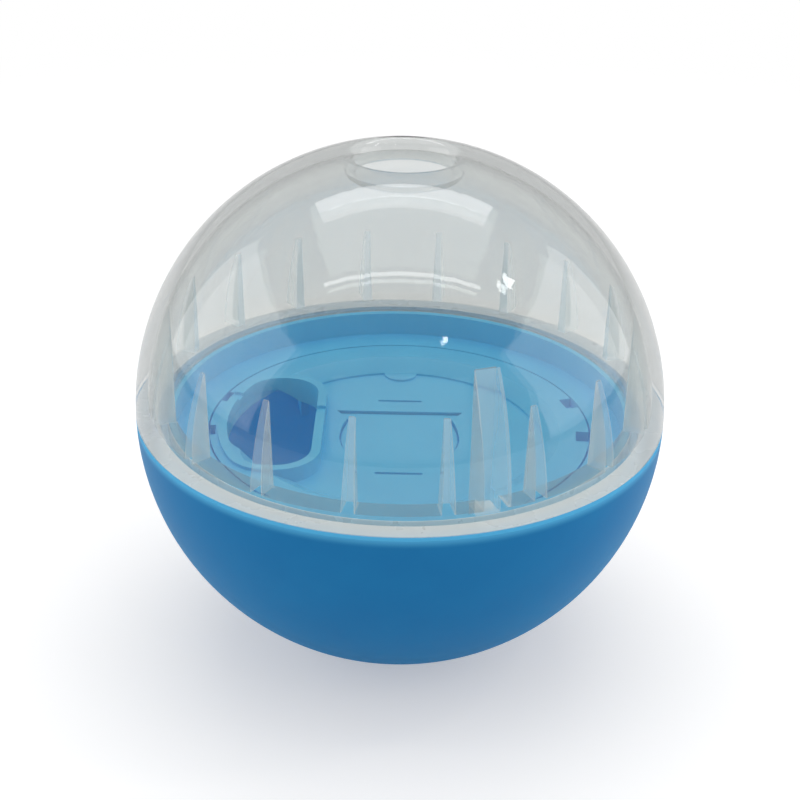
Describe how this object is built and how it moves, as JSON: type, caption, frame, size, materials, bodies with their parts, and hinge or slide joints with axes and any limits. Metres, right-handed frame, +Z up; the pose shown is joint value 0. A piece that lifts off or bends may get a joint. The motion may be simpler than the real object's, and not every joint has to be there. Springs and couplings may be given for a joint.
{
  "type": "slow feeder treat ball",
  "caption": "Treat ball for pets: a clear finned dome with an outlet twists and lifts off an opaque food bowl, over a divider whose dial opens and closes a feed window.",
  "frame": {"origin": "middle of the flat foot under the bowl, on the surface that the ball stands on", "axes": "+Z up along the ball's axis through the outlet; -Y towards the front, as the picture sees it; +X to the viewer's right"},
  "size_m": [0.08, 0.08, 0.0782],
  "materials": {
    "bowl_plastic": "moulded, semi-gloss, opaque blue",
    "clear_plastic": "moulded, glossy, clear and colourless",
    "insert_plastic": "moulded, semi-gloss, opaque light blue"
  },
  "bodies": {
    "bowl": {"lower_bowl": "bowl_plastic"},
    "divider": {"divider_disc": "insert_plastic"},
    "dial": {"dial_plate": "insert_plastic", "dial_grip": "insert_plastic"},
    "dome": {"clear_dome": "clear_plastic"}
  },
  "joints": [
    {"name": "dome_twist", "type": "hinge", "parent": "bowl", "child": "divider", "pos_m": [0, 0, 0.0392], "axis": [0, 0, 1], "range_deg": [-40, 0]},
    {"name": "dome_lift", "type": "slide", "parent": "divider", "child": "dome", "axis": [0, 0, 1], "range_m": [0, 0.06]},
    {"name": "dial_turn", "type": "hinge", "parent": "divider", "child": "dial", "pos_m": [0, 0, 0.032], "axis": [0, 0, 1], "continuous": true}
  ]
}
